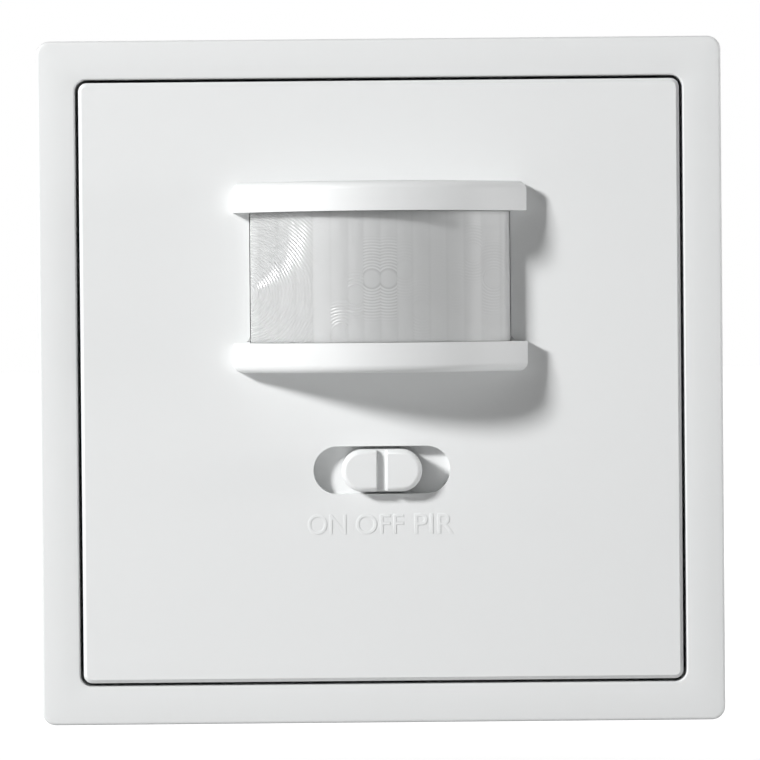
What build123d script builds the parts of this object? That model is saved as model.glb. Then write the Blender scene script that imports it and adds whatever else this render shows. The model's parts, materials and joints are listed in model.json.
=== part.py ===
from build123d import *
from math import cos, radians, sin, tan
import os

# Motion sensor light switch, in millimetres. X runs right, Z runs up, the front faces -Y, and the
# wall's face is the plane y = 0. A size that ends in _out is a distance in front of the wall's face,
# and it is negative inside the wall. Levels are heights above the middle of the switch.

# Fits and cuts
overrun = 1.0
seat_gap = 0.2
slide_gap = 0.1
running_gap = 0.05
lead_gap = 0.15
hair = 0.01

# Cover frame
frame_width = 80.0
frame_band = 4.5
cover_out = 10.0
frame_skin = 2.0
frame_skirt = 1.6
frame_lip = 1.2
ledge_reach = 2.5
ledge_skin = 1.2
frame_corner = 1.6
opening_corner = 1.4
frame_outer_round = 0.8
frame_inner_bevel = 0.4

# Centre plate, with the seam that shows round it
seam = 0.4
plate_skin = 1.8
plate_skirt = 1.4
plate_corner = 1.0
plate_bevel = 0.4
rib_skin = 1.0
rib_height = 2.0
clip_width = 7.0
clip_level = 14.5
clip_skin = 1.4
clip_hook = 0.8
clip_hook_height = 1.2

# Sensor head on the plate: two brows, above and below the lens
head_level = 12.15
head_width = 34.2
head_height = 22.1
head_reach = 11.0
brow_height = 3.45
brow_round = 1.0
visor_radius = 18.5
flank_angle = 40.7

# Lens and its holder
lens_width = 30.3
lens_setback = 1.6
lens_skin = 0.8
lens_corner = 1.5
lens_flange = 1.5
holder_skin = 1.2
holder_band = 3.0
stake_width = 1.6

# Slide knob and its recess
recess_length = 16.0
recess_height = 5.6
recess_depth = 1.85
recess_level = -10.4
recess_skin = 1.2
knob_length = 9.4
knob_height = 4.9
knob_reach = 2.4
knob_bevel = 0.4
groove_width = 1.1
groove_depth = 0.8
slider_travel = 3.0
stem_height = 1.6
prong_skin = 0.65
stem_hook = 0.4
stem_hook_height = 0.7

# Support ring
ring_skin = 1.0
ring_corner = 3.0
fixing_width = 60.0
fixing_slot_width = 4.0
fixing_slot_length = 6.0

# Module behind the ring
module_depth = 27.0
barrel_radius = 26.5
barrel_half_width = 22.0
foot_flat = 3.3
barrel_edge = 1.0
housing_skin = 1.6
housing_back = 1.8
spigot_skin = 1.0
opening_gap = 0.3
snap_width = 5.0
snap_reach = 0.7
snap_depth = 1.0
snap_drop = 0.6
side_snap_level = 7.0
foot_snap_x = 6.0
board_ledge = 1.0
board_ledge_width = 4.5
power_ledge_level = 3.5
sensor_ledge_level = 10.0

# Front carrier
carrier_clear = 0.6
carrier_skin = 1.4
carrier_width = 51.0
carrier_corner = 4.0
view_width = 23.0
view_height = 13.0

# Boards
sensor_board_skin = 1.2
power_board_skin = 1.6
board_spacing = 8.7
board_inset = 0.25
tall_part_gap = 0.6
lead_width = 0.6
lead_tail = 1.0

# Infrared sensor
can_radius = 4.1
can_skin = 0.3
can_height = 4.2
can_flange = 0.5
can_flange_height = 0.4
pane_width = 4.0
pane_height = 3.0
pane_skin = 0.5
sensor_lead_radius = 2.5

# Light sensor
eye_x = 8.6
eye_level_share = 0.7
eye_radius = 1.5
eye_height = 4.2
eye_lead_spacing = 2.0

# Slide switch on the sensor board
switch_length = 13.0
switch_height = 5.0
switch_depth = 3.8
switch_skin = 0.3
switch_base_depth = 1.2
lever_width = 1.2
lever_height = 1.2
carriage_length = 4.0
carriage_depth = 1.4
wiper_skin = 0.3
wiper_share = 0.8
switch_pins_count = 4
switch_pin_pitch = 3.0

# Trimmers behind the plate
trimmer_x = 8.6
trimmer_level = -16.4
trimmer_width = 6.0
trimmer_depth = 3.4
shank_radius = 1.5
shank_reach = 1.8
dial_radius = 2.6
dial_height = 1.4
dial_proud = 0.5
dial_slot = 0.8
trimmer_pin_spacing = 4.0

# Parts on the sensor board
chip_length = 4.9
chip_width = 3.9
chip_height = 1.5
chip_level = 0.4
chip_leg_pitch = 1.27
chip_leg_width = 0.5
chip_leg_reach = 1.0
cap_x = 9.6
cap_level = 1.4
cap_length = 5.0
cap_width = 2.5
cap_height = 4.5

# Plug and socket between the boards
header_level = 20.2
header_pins_count = 4
header_pitch = 2.5
header_height = 2.5
header_depth = 2.5
header_pin = 0.64
socket_depth = 5.0

# Relay and its neighbours on the power board
relay_x = -4.0
relay_level = 10.6
relay_length = 18.0
relay_width = 10.0
relay_edge = 0.5
relay_pin_length_share = 0.8
relay_pin_width_share = 0.7
film_x = -4.5
film_level = -1.6
film_length = 13.0
film_width = 6.0
film_lead_share = 0.75
tank_x = 11.2
tank_level = 9.0
tank_radius = 4.0
tank_lead_spacing = 3.5
surge_x = 9.0
surge_level = -2.2
surge_radius_share = 0.34
surge_skin = 3.2
surge_clear = 1.2
surge_lead_share = 0.67
fuse_x = -4.5
fuse_level = -8.0
fuse_length = 9.0
fuse_radius = 1.8
fuse_clear = 0.6
fuse_lead_spacing = 12.5
bridge_x = -4.4
bridge_level = -4.8
bridge_length = 8.2
bridge_width = 6.2
bridge_height = 2.6
bridge_leg_share = 0.65

# Terminals
terminal_pitch = 7.8
terminal_count = 3
block_height = 8.6
block_drop = 2.4
block_skin = 1.0
wire_radius = 1.5
wire_way = 4.0
contact_width = 3.6
contact_bar = 0.8
spring_skin = 0.4
tongue_share = 0.45

# Claws: bell cranks on pins in the ring's lugs, drawn open by a nut on the claw screw outside the pin
claw_level = 6.5
claw_width = 6.0
claw_skin = 1.2
claw_length = 20.0
pivot_x = 19.2
pivot_out = -3.6
pin_radius = 1.0
pin_tail = 0.4
knuckle_radius = 1.8
arm_reach = 4.5
arm_angle = 15.0
nose_radius = 1.4
slot_half_length = 2.1
barb_reach = 0.6
barb_length = 2.0
claw_screw_radius = 1.5
claw_screw_reach = 10.5
claw_head_radius = 2.7
claw_head_height = 2.0
nut_width = 5.0
nut_height = 2.2
fork_gap = 0.3
pocket_clear = 0.3

# Places that follow from the sizes above
opening_width = frame_width - 2 * frame_band
ring_width = opening_width
plate_width = opening_width - 2 * seam
ledge_out = ring_skin + seat_gap
plate_foot = ledge_out + ledge_skin + seat_gap
plate_back = cover_out - plate_skin
window_height = head_height - 2 * brow_height
window_low = head_level - window_height / 2
visor_centre = cover_out + head_reach - visor_radius
lens_radius = visor_radius - lens_setback
lens_back = plate_back - lens_skin
holder_back = lens_back - holder_skin
carrier_out = holder_back - carrier_clear
carrier_back = carrier_out - carrier_skin
recess_floor = cover_out - recess_depth
recess_back = recess_floor - recess_skin
sensor_board_out = visor_centre - can_height - can_flange_height
sensor_board_back = sensor_board_out - sensor_board_skin
power_board_out = sensor_board_back - board_spacing
power_board_back = power_board_out - power_board_skin
tall_height = power_board_back + module_depth - housing_back - tall_part_gap
surge_radius = tall_height * surge_radius_share
surge_lead_spacing = 2 * surge_radius * surge_lead_share
switch_out = sensor_board_out + switch_depth
lever_tip = carrier_out - seat_gap
claw_screw_x = pivot_x + arm_reach
leg_x = claw_screw_x + nut_width / 2 + fork_gap + claw_skin / 2
pocket_x = pivot_x - knuckle_radius - pocket_clear
claw_pin_length = claw_width + 2 * (slide_gap + ring_skin + pin_tail)
pocket_height = claw_pin_length + 2 * pocket_clear
barrel_foot = barrel_radius - foot_flat
block_foot = -barrel_foot + housing_skin + seat_gap
block_back = -module_depth
block_depth = power_board_back - block_back - block_drop
pocket_floor = block_foot + block_skin
pocket_roof = block_foot + block_height - block_skin
pocket_out = block_back + wire_way
pocket_front = block_back + block_depth
bar_level = pocket_roof - seat_gap - contact_bar
wire_level = bar_level - wire_radius
ledge_x = barrel_half_width - housing_skin
side_snaps = ((ledge_x, side_snap_level), (-ledge_x, -side_snap_level))
foot_snaps = ((-foot_snap_x, housing_skin - barrel_foot), (foot_snap_x, housing_skin - barrel_foot))
trimmer_spots = (("time", -trimmer_x), ("lux", trimmer_x))
claw_sides = (("left", -1), ("right", 1))


def layer(out):
    """Plane parallel to the wall, seen from the front, at a distance in front of it."""
    return Plane.XZ.offset(out)


def visor(radius, half_width, foot):
    """Plan of the sensor head from above: an arc, a straight flank at each side that leaves it at the
    flank angle, an upright end, and a straight foot."""
    arc_x = radius * sin(radians(flank_angle))
    arc_out = visor_centre + radius * cos(radians(flank_angle))
    end_out = arc_out - (half_width - arc_x) * tan(radians(flank_angle))
    with BuildLine() as plan:
        ThreePointArc((-arc_x, -arc_out), (0, -visor_centre - radius), (arc_x, -arc_out))
        Polyline(
            (arc_x, -arc_out),
            (half_width, -end_out),
            (half_width, -foot),
            (-half_width, -foot),
            (-half_width, -end_out),
            (-arc_x, -arc_out),
        )
    make_face(plan.edges())


def keep(piece, label):
    """Names a finished piece and writes its file."""
    piece.part.label = label
    export_step(piece.part, f"parts/{label}.step")


os.makedirs("parts", exist_ok=True)

# Outline of the module behind the ring: a round barrel with flat sides and a flat foot, and a pocket
# beside each claw. Everything inside the barrel follows it.
def barrel_face(inset):
    """The barrel's outline, drawn in by an even inset."""
    radius = barrel_radius - inset
    foot = barrel_foot - inset
    with BuildSketch() as face:
        Circle(radius)
        with Locations((0, (radius - foot) / 2)):
            Rectangle(2 * (barrel_half_width - inset), radius + foot, mode=Mode.INTERSECT)
        for name, side in claw_sides:
            with Locations((side * barrel_radius, -side * claw_level)):
                Rectangle(
                    2 * (barrel_radius - pocket_x + inset),
                    pocket_height + 2 * inset,
                    mode=Mode.SUBTRACT,
                )
    return face.sketch


barrel_outline = barrel_face(0)
housing_inside = barrel_face(housing_skin)
board_outline = barrel_face(housing_skin + board_inset)
spigot_outside = barrel_face(housing_skin + seat_gap)
spigot_inside = barrel_face(housing_skin + seat_gap + spigot_skin)
ring_opening = barrel_face(housing_skin + seat_gap - opening_gap)

# Cover frame: a square moulding with an outer skirt down to the wall and an inner lip, whose ledge the
# centre plate presses on the support ring.
with BuildPart() as cover_frame:
    with BuildSketch(layer(0)):
        RectangleRounded(frame_width, frame_width, frame_corner)
    extrude(amount=cover_out)
    fillet(cover_frame.edges().group_by(Axis.Y)[0], frame_outer_round)
    with BuildSketch(layer(0)):
        RectangleRounded(opening_width, opening_width, opening_corner)
    extrude(amount=cover_out, mode=Mode.SUBTRACT)
    chamfer(cover_frame.edges(Select.LAST).group_by(Axis.Y)[0], frame_inner_bevel)
    with BuildSketch(layer(0)):
        Rectangle(frame_width - 2 * frame_skirt, frame_width - 2 * frame_skirt)
        Rectangle(opening_width + 2 * frame_lip, opening_width + 2 * frame_lip, mode=Mode.SUBTRACT)
    extrude(amount=cover_out - frame_skin, mode=Mode.SUBTRACT)
    with BuildSketch(layer(0)):
        Rectangle(opening_width + 2 * frame_lip, opening_width + 2 * frame_lip)
    extrude(amount=ledge_out, mode=Mode.SUBTRACT)
    with BuildSketch(layer(ledge_out)):
        Rectangle(opening_width + frame_lip, opening_width + frame_lip)
        Rectangle(opening_width - 2 * ledge_reach, opening_width - 2 * ledge_reach, mode=Mode.SUBTRACT)
    extrude(amount=ledge_skin)
keep(cover_frame, "cover_frame")

# Centre plate: one moulding with its skirt, the sensor head's two brows, the window between
# them, the slider's recess, the lens stakes, stiffening ribs and four hooked clips.
stake_x = lens_width / 2 + lens_flange + stake_width / 2 + seat_gap
with BuildPart() as centre_plate:
    with BuildSketch(layer(plate_foot)):
        RectangleRounded(plate_width, plate_width, plate_corner)
    extrude(amount=cover_out - plate_foot)
    chamfer(centre_plate.edges().group_by(Axis.Y)[0], plate_bevel)
    with BuildSketch(layer(plate_foot)):
        Rectangle(plate_width - 2 * plate_skirt, plate_width - 2 * plate_skirt)
    extrude(amount=plate_back - plate_foot, mode=Mode.SUBTRACT)

    # The brows: each is the visor's plan, as thick as the brow is high
    for low, outer_end in ((window_low - brow_height, 0), (window_low + window_height, -1)):
        with BuildSketch(Plane.XY.offset(low)):
            visor(visor_radius, head_width / 2, plate_back + plate_skin / 2)
        extrude(amount=brow_height)
        brow_edges = centre_plate.edges(Select.LAST).filter_by(
            lambda edge: edge.center().Y < -cover_out - hair
        )
        fillet(brow_edges.group_by(Axis.Z)[outer_end], brow_round)
    with BuildSketch(layer(plate_back)):
        with Locations((0, head_level)):
            Rectangle(lens_width + 2 * slide_gap, window_height)
    extrude(amount=plate_skin, mode=Mode.SUBTRACT)

    # The recess: a boss behind the plate, the pocket in front, and the slot for the knob's stem
    with BuildSketch(layer(recess_back)):
        with Locations((0, recess_level)):
            Rectangle(recess_length + 2 * recess_skin, recess_height + 2 * recess_skin)
    extrude(amount=plate_back - recess_back)
    with BuildSketch(layer(recess_floor)):
        with Locations((0, recess_level)):
            SlotOverall(recess_length, recess_height)
    extrude(amount=recess_depth, mode=Mode.SUBTRACT)
    stem_width = lever_width + 2 * (running_gap + prong_skin)
    with BuildSketch(layer(recess_back)):
        with Locations((0, recess_level)):
            Rectangle(stem_width + 2 * (slider_travel + seat_gap), stem_height + 2 * slide_gap)
    extrude(amount=recess_skin, mode=Mode.SUBTRACT)

    # Ribs from the recess to the skirt
    rib_length = (plate_width - recess_length) / 2 - recess_skin - plate_skirt / 2
    with BuildSketch(layer(plate_back - rib_height)):
        with Locations((0, recess_level)):
            with GridLocations(plate_width - plate_skirt - rib_length, 0, 2, 1):
                Rectangle(rib_length, rib_skin)
    extrude(amount=rib_height)

    # Stakes that hold the lens holder
    with BuildSketch(layer(holder_back - seat_gap)):
        with Locations((0, head_level)):
            with GridLocations(2 * stake_x, 0, 2, 1):
                Rectangle(stake_width, stake_width)
    extrude(amount=plate_back - holder_back + seat_gap)

    # Clips that hook into the carrier's windows
    clip_x = carrier_width / 2 + slide_gap
    clip_tip = ledge_out + seat_gap
    for level in (-clip_level, clip_level):
        with BuildSketch(Plane.XY.offset(level)):
            with BuildLine():
                Polyline(
                    (clip_x, -plate_back),
                    (clip_x + clip_skin, -plate_back),
                    (clip_x + clip_skin, -clip_tip),
                    (clip_x, -clip_tip),
                    (clip_x - clip_hook, -clip_tip - clip_hook),
                    (clip_x - clip_hook, -clip_tip - clip_hook_height),
                    (clip_x, -clip_tip - clip_hook_height),
                    close=True,
                )
            make_face()
            mirror(about=Plane.YZ)
        extrude(amount=clip_width / 2, both=True)
keep(centre_plate, "centre_plate")

# Lens: a moulded cap that follows the visor a little behind the brows, open behind, with a flange
with BuildPart() as pir_lens:
    with BuildSketch(Plane.XY.offset(window_low + slide_gap)):
        visor(lens_radius, lens_width / 2, plate_back)
    extrude(amount=window_height - 2 * slide_gap)
    lens_front = -visor_centre - lens_radius * cos(radians(flank_angle))
    lens_ends = pir_lens.edges().filter_by(Axis.Z).filter_by(
        lambda edge: lens_front < edge.center().Y < -plate_back - hair
    )
    fillet(lens_ends.group_by(Axis.X)[0] + lens_ends.group_by(Axis.X)[-1], lens_corner)
    with BuildSketch(Plane.XY.offset(window_low + slide_gap + lens_skin)):
        visor(lens_radius - lens_skin, lens_width / 2 - lens_skin, plate_back)
    extrude(amount=window_height - 2 * (slide_gap + lens_skin), mode=Mode.SUBTRACT)
    with BuildSketch(layer(lens_back)):
        with Locations((0, head_level)):
            Rectangle(lens_width + 2 * lens_flange, window_height + 2 * lens_flange)
            Rectangle(lens_width - 2 * lens_skin, window_height - 2 * lens_skin, mode=Mode.SUBTRACT)
    extrude(amount=lens_skin)
keep(pir_lens, "pir_lens")

# Lens holder: a flat frame on the plate's two stakes
with BuildPart() as lens_holder:
    with BuildSketch(layer(holder_back)):
        with Locations((0, head_level)):
            Rectangle(2 * (stake_x + stake_width), window_height + 2 * lens_flange)
            Rectangle(lens_width - holder_band, window_height - holder_band, mode=Mode.SUBTRACT)
            with GridLocations(2 * stake_x, 0, 2, 1):
                Rectangle(
                    stake_width + 2 * running_gap,
                    stake_width + 2 * running_gap,
                    mode=Mode.SUBTRACT,
                )
    extrude(amount=holder_skin)
keep(lens_holder, "lens_holder")

# Slide knob: a grooved cap in the recess, a stem through the slot with a snap hook above and below,
# and two prongs astride the switch lever
knob_foot = recess_floor + slide_gap
knob_out = cover_out + knob_reach
prong_tip = switch_out + seat_gap
with BuildPart() as slider_knob:
    with BuildSketch(layer(knob_foot)):
        with Locations((0, recess_level)):
            SlotOverall(knob_length, knob_height)
    extrude(amount=knob_out - knob_foot)
    chamfer(slider_knob.edges().group_by(Axis.Y)[0], knob_bevel)
    with BuildSketch(layer(knob_out - groove_depth)):
        with Locations((0, recess_level)):
            Rectangle(groove_width, knob_height)
    extrude(amount=groove_depth, mode=Mode.SUBTRACT)
    with BuildSketch(layer(prong_tip)):
        with Locations((0, recess_level)):
            Rectangle(stem_width, stem_height)
    extrude(amount=knob_foot - prong_tip)
    with BuildSketch(layer(recess_back - slide_gap - stem_hook_height)):
        with Locations((0, recess_level)):
            Rectangle(stem_width, stem_height + 2 * (slide_gap + stem_hook))
    extrude(amount=stem_hook_height)
    with BuildSketch(layer(prong_tip)):
        with Locations((0, recess_level)):
            Rectangle(lever_width + 2 * running_gap, stem_height)
    extrude(amount=lever_tip + seat_gap - prong_tip, mode=Mode.SUBTRACT)
keep(slider_knob, "slider_knob")

# Support ring: flat zinc-plated steel with four fixing slots, an opening for the module, and two bent
# lugs for each claw, each with a notch open to the back that the pin lies in
notch_end = -pivot_out - pin_radius - running_gap
with BuildPart() as support_ring:
    with BuildSketch(layer(0)):
        RectangleRounded(ring_width, ring_width, ring_corner)
        add(ring_opening, mode=Mode.SUBTRACT)
        with GridLocations(fixing_width, 0, 2, 1):
            SlotOverall(fixing_slot_length, fixing_slot_width, mode=Mode.SUBTRACT)
        with GridLocations(0, fixing_width, 1, 2):
            SlotOverall(fixing_slot_length, fixing_slot_width, rotation=90, mode=Mode.SUBTRACT)
        for name, side in claw_sides:
            with Locations((side * claw_screw_x, -side * claw_level)):
                Circle(claw_screw_radius + running_gap, mode=Mode.SUBTRACT)
    extrude(amount=ring_skin)
    for name, side in claw_sides:
        for end in (-1, 1):
            lug_low = end * (claw_width / 2 + slide_gap + ring_skin / 2) - ring_skin / 2
            with BuildSketch(Plane.XY.offset(-side * claw_level + lug_low)):
                with Locations((side * pivot_x, (knuckle_radius - pivot_out - ring_skin) / 2)):
                    Rectangle(2 * knuckle_radius, knuckle_radius - pivot_out + ring_skin)
                with Locations((side * pivot_x, notch_end + knuckle_radius)):
                    Rectangle(
                        2 * (pin_radius + running_gap),
                        2 * knuckle_radius,
                        mode=Mode.SUBTRACT,
                    )
            extrude(amount=ring_skin)
keep(support_ring, "support_ring")

# Rear housing: the barrel as a cup, with ledges for the two boards, windows for the carrier's snaps
# and one for the terminal block
block_width = terminal_count * terminal_pitch
with BuildPart() as rear_housing:
    with BuildSketch(layer(-module_depth)):
        add(barrel_outline)
    extrude(amount=module_depth)
    chamfer(rear_housing.edges().group_by(Axis.Y)[-1], barrel_edge)
    with BuildSketch(layer(-module_depth + housing_back)):
        add(housing_inside)
    extrude(amount=module_depth - housing_back, mode=Mode.SUBTRACT)
    for out, spot in ((power_board_back, power_ledge_level), (sensor_board_back, sensor_ledge_level)):
        with BuildSketch(layer(-module_depth + housing_back)):
            with Locations((ledge_x, spot), (-ledge_x, -spot)):
                Rectangle(2 * board_ledge, board_ledge_width)
        extrude(amount=out + module_depth - housing_back)
    with BuildSketch(layer(-snap_drop - snap_depth - seat_gap)):
        with Locations(*side_snaps):
            Rectangle(2 * housing_skin + overrun, snap_width + 2 * seat_gap)
        with Locations(*foot_snaps):
            Rectangle(snap_width + 2 * seat_gap, 2 * housing_skin + overrun)
    extrude(amount=snap_depth + 2 * seat_gap, mode=Mode.SUBTRACT)
    with BuildSketch(layer(-module_depth)):
        with Locations((0, block_foot + block_height / 2)):
            Rectangle(block_width + 2 * slide_gap, block_height + 2 * slide_gap)
    extrude(amount=housing_back, mode=Mode.SUBTRACT)
keep(rear_housing, "rear_housing")

# Front carrier: the module's front, with a spigot through the ring down to the sensor board, snaps on
# the spigot for the rear housing, walled notches for the claw screws, and windows for the clips
notch_half = claw_head_radius + seat_gap
with BuildPart() as front_carrier:
    with BuildSketch(layer(ring_skin)):
        RectangleRounded(carrier_width, carrier_width, carrier_corner)
    extrude(amount=carrier_out - ring_skin)
    with BuildSketch(layer(ring_skin)):
        Rectangle(carrier_width - 2 * carrier_skin, carrier_width - 2 * carrier_skin)
    extrude(amount=carrier_back - ring_skin, mode=Mode.SUBTRACT)

    # Spigot and its snaps
    with BuildSketch(layer(-snap_drop - snap_depth)):
        with Locations(*side_snaps):
            Rectangle(2 * (snap_reach + seat_gap), snap_width)
        with Locations(*foot_snaps):
            Rectangle(snap_width, 2 * (snap_reach + seat_gap))
    extrude(amount=snap_depth)
    with BuildSketch(layer(sensor_board_out)):
        add(spigot_outside)
    extrude(amount=carrier_back - sensor_board_out)
    with BuildSketch(layer(sensor_board_out)):
        add(spigot_inside)
    extrude(amount=carrier_back - sensor_board_out, mode=Mode.SUBTRACT)

    # Notches in the sides for the claw screws' heads, each walled on three sides
    for name, side in claw_sides:
        wall_x = claw_screw_x - notch_half - spigot_skin
        with BuildSketch(layer(ring_skin)):
            with Locations((side * (wall_x + carrier_width / 2) / 2, -side * claw_level)):
                Rectangle(carrier_width / 2 - wall_x, 2 * (notch_half + spigot_skin))
        extrude(amount=carrier_back - ring_skin)
        with BuildSketch(layer(ring_skin)):
            with Locations((side * (claw_screw_x + notch_half), -side * claw_level)):
                Rectangle(4 * notch_half, 2 * notch_half)
        extrude(amount=carrier_out - ring_skin, mode=Mode.SUBTRACT)

    # View opening, lever slot and dial holes
    with BuildSketch(layer(carrier_back)):
        with Locations((0, head_level)):
            Rectangle(view_width, view_height)
        with Locations((0, recess_level)):
            Rectangle(stem_width + 2 * (slider_travel + seat_gap), stem_height + 4 * seat_gap)
        for name, spot in trimmer_spots:
            with Locations((spot, trimmer_level)):
                Circle(dial_radius + seat_gap)
    extrude(amount=carrier_skin, mode=Mode.SUBTRACT)

    # Windows for the plate's clips
    window_foot = clip_tip - seat_gap
    for level in (-clip_level, clip_level):
        with BuildSketch(layer(window_foot)):
            with Locations((0, level)):
                with GridLocations(carrier_width - carrier_skin, 0, 2, 1):
                    Rectangle(carrier_skin, clip_width + 2 * seat_gap)
        extrude(amount=clip_hook_height + 2 * seat_gap, mode=Mode.SUBTRACT)
keep(front_carrier, "front_carrier")

# Places of the leads, each drawn as a hole in its board and as a square wire
eye_level = head_level - eye_level_share * can_radius
sensor_leads = [(0, -sensor_lead_radius), (sensor_lead_radius, 0), (-sensor_lead_radius, 0)]
sensor_leads = [(x, head_level + z) for x, z in sensor_leads]
eye_leads = [(eye_x + end * eye_lead_spacing / 2, eye_level) for end in (-1, 1)]
switch_leads = [
    ((step - (switch_pins_count - 1) / 2) * switch_pin_pitch, recess_level)
    for step in range(switch_pins_count)
]
trimmer_leads = [
    (spot + step * trimmer_pin_spacing / 2, trimmer_level + side * trimmer_pin_spacing / 2)
    for name, spot in trimmer_spots
    for step, side in ((-1, -1), (1, -1), (0, 1))
]
header_spots = [
    ((step - (header_pins_count - 1) / 2) * header_pitch, header_level)
    for step in range(header_pins_count)
]
contact_spots = [
    ((step - (terminal_count - 1) / 2) * terminal_pitch, bar_level + contact_bar / 2)
    for step in range(terminal_count)
]
relay_leads = [
    (
        relay_x + side * relay_length * relay_pin_length_share / 2,
        relay_level + end * relay_width * relay_pin_width_share / 2,
    )
    for side in (-1, 1)
    for end in (-1, 1)
]
film_leads = [(film_x + side * film_length * film_lead_share / 2, film_level) for side in (-1, 1)]
tank_leads = [(tank_x, tank_level + side * tank_lead_spacing / 2) for side in (-1, 1)]
surge_leads = [(surge_x, surge_level + side * surge_lead_spacing / 2) for side in (-1, 1)]
fuse_leads = [(fuse_x + side * fuse_lead_spacing / 2, fuse_level) for side in (-1, 1)]
bridge_leads = [
    (
        bridge_x + side * bridge_length * bridge_leg_share / 2,
        bridge_level + end * bridge_width / 2,
    )
    for side in (-1, 1)
    for end in (-1, 1)
]
def leads(spots, low, high, width=lead_width):
    """Square wires from one distance to another, at each spot."""
    with BuildSketch(layer(low)) as wires:
        with Locations(*spots):
            Rectangle(width, width)
    extrude(wires.sketch, amount=high - low)


def lead_holes(spots, back, skin, width=lead_width):
    """Square holes through a board for the wires at the spots."""
    with BuildSketch(layer(back)) as holes:
        with Locations(*spots):
            Rectangle(width + 2 * lead_gap, width + 2 * lead_gap)
    extrude(holes.sketch, amount=skin, mode=Mode.SUBTRACT)


# Sensor board: follows the barrel, and is held between the spigot's rim and its ledges
with BuildPart() as sensor_board:
    with BuildSketch(layer(sensor_board_back)):
        add(board_outline)
    extrude(amount=sensor_board_skin)
    lead_holes(sensor_leads + eye_leads + switch_leads, sensor_board_back, sensor_board_skin)
    lead_holes(trimmer_leads, sensor_board_back, sensor_board_skin)
    lead_holes(header_spots, sensor_board_back, sensor_board_skin, header_pin)
keep(sensor_board, "sensor_board")

# Infrared sensor: a can with a window pane let into its face, its base and three leads
with BuildPart() as sensor_can:
    with BuildSketch(layer(sensor_board_out + can_flange_height)):
        with Locations((0, head_level)):
            Circle(can_radius)
    extrude(amount=can_height)
    with BuildSketch(layer(visor_centre - can_skin - pane_skin)):
        with Locations((0, head_level)):
            Rectangle(pane_width, pane_height)
    extrude(amount=can_skin + pane_skin, mode=Mode.SUBTRACT)
keep(sensor_can, "sensor_can")

with BuildPart() as sensor_pane:
    with BuildSketch(layer(visor_centre - can_skin - pane_skin)):
        with Locations((0, head_level)):
            Rectangle(pane_width, pane_height)
    extrude(amount=pane_skin)
keep(sensor_pane, "sensor_pane")

with BuildPart() as sensor_base:
    with BuildSketch(layer(sensor_board_out)):
        with Locations((0, head_level)):
            Circle(can_radius + can_flange)
    extrude(amount=can_flange_height)
keep(sensor_base, "sensor_base")

with BuildPart() as sensor_pins:
    leads(sensor_leads, sensor_board_back - lead_tail, sensor_board_out)
keep(sensor_pins, "sensor_pins")

# Light sensor: a clear round package with a bevelled nose, behind the lens
with BuildPart() as light_sensor:
    with BuildSketch(layer(sensor_board_out)):
        with Locations((eye_x, eye_level)):
            Circle(eye_radius)
    extrude(amount=eye_height)
    chamfer(light_sensor.edges().group_by(Axis.Y)[0], eye_radius / 3)
keep(light_sensor, "light_sensor")

# Slide switch: plastic base, metal shell with a slot, lever on its carriage, contact and pins
switch_slot = lever_width + 2 * (slider_travel + seat_gap)
with BuildPart() as switch_base:
    with BuildSketch(layer(sensor_board_out)):
        with Locations((0, recess_level)):
            Rectangle(
                switch_length - 2 * (switch_skin + running_gap),
                switch_height - 2 * (switch_skin + running_gap),
            )
    extrude(amount=switch_base_depth)
keep(switch_base, "switch_base")

with BuildPart() as switch_shell:
    with BuildSketch(layer(sensor_board_out)):
        with Locations((0, recess_level)):
            Rectangle(switch_length, switch_height)
    extrude(amount=switch_depth)
    with BuildSketch(layer(sensor_board_out)):
        with Locations((0, recess_level)):
            Rectangle(switch_length - 2 * switch_skin, switch_height - 2 * switch_skin)
    extrude(amount=switch_depth - switch_skin, mode=Mode.SUBTRACT)
    with BuildSketch(layer(sensor_board_out)):
        with Locations((0, recess_level)):
            Rectangle(switch_slot, lever_height + 2 * slide_gap)
    extrude(amount=switch_depth, mode=Mode.SUBTRACT)
keep(switch_shell, "switch_shell")

carriage_out = switch_out - switch_skin - slide_gap
with BuildPart() as switch_lever:
    with BuildSketch(layer(carriage_out - carriage_depth)):
        with Locations((0, recess_level)):
            Rectangle(carriage_length, switch_height - 2 * (switch_skin + slide_gap))
    extrude(amount=carriage_depth)
    with BuildSketch(layer(carriage_out)):
        with Locations((0, recess_level)):
            Rectangle(lever_width, lever_height)
    extrude(amount=lever_tip - carriage_out)
keep(switch_lever, "switch_lever")

with BuildPart() as switch_contact:
    with BuildSketch(layer(carriage_out - carriage_depth - wiper_skin)):
        with Locations((0, recess_level)):
            Rectangle(carriage_length * wiper_share, lever_height)
    extrude(amount=wiper_skin)
keep(switch_contact, "switch_contact")

with BuildPart() as switch_pins:
    leads(switch_leads, sensor_board_back - lead_tail, sensor_board_out)
keep(switch_pins, "switch_pins")

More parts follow.
